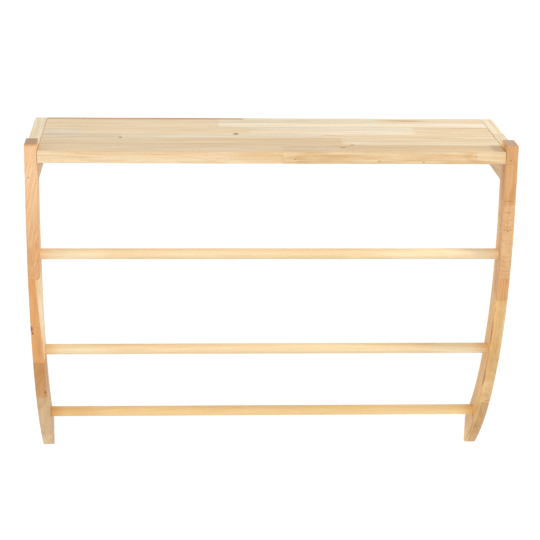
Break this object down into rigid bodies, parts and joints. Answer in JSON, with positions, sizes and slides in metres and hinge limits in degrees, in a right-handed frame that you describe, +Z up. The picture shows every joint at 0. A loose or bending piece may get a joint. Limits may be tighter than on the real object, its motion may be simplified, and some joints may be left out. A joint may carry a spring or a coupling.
{
  "type": "wall plate rack",
  "caption": "Wall rack of pale wood: a shelf over round rails that run between two curved side frames, which bow out from the wall and meet it again at the foot.",
  "frame": {"origin": "midway between the two wall screws, on the plane of the wall", "axes": "+X to the right along the rails, +Y into the wall, +Z up"},
  "size_m": [0.8, 0.25, 0.623],
  "materials": {
    "shelf_wood": "edge-glued staves of pale rubberwood, sanded, clear satin",
    "bow_wood": "laminated and finger-jointed rubberwood, honey tone, clear satin",
    "arm_wood": "pale rubberwood, clear satin",
    "rail_wood": "turned rubberwood rail, honey tone, clear satin",
    "pin_wood": "fluted beech joint pin, raw"
  },
  "bodies": {
    "root": {"shelf_board": "shelf_wood", "wall_rail": "arm_wood", "left_bow": "bow_wood", "right_bow": "bow_wood", "left_arm": "arm_wood", "right_arm": "arm_wood", "upper_rail": "rail_wood", "middle_rail": "rail_wood", "lower_rail": "rail_wood", "left_arm_pins": "pin_wood", "right_arm_pins": "pin_wood", "left_shelf_pins": "pin_wood", "right_shelf_pins": "pin_wood", "wall_rail_pins": "pin_wood"}
  },
  "joints": []
}
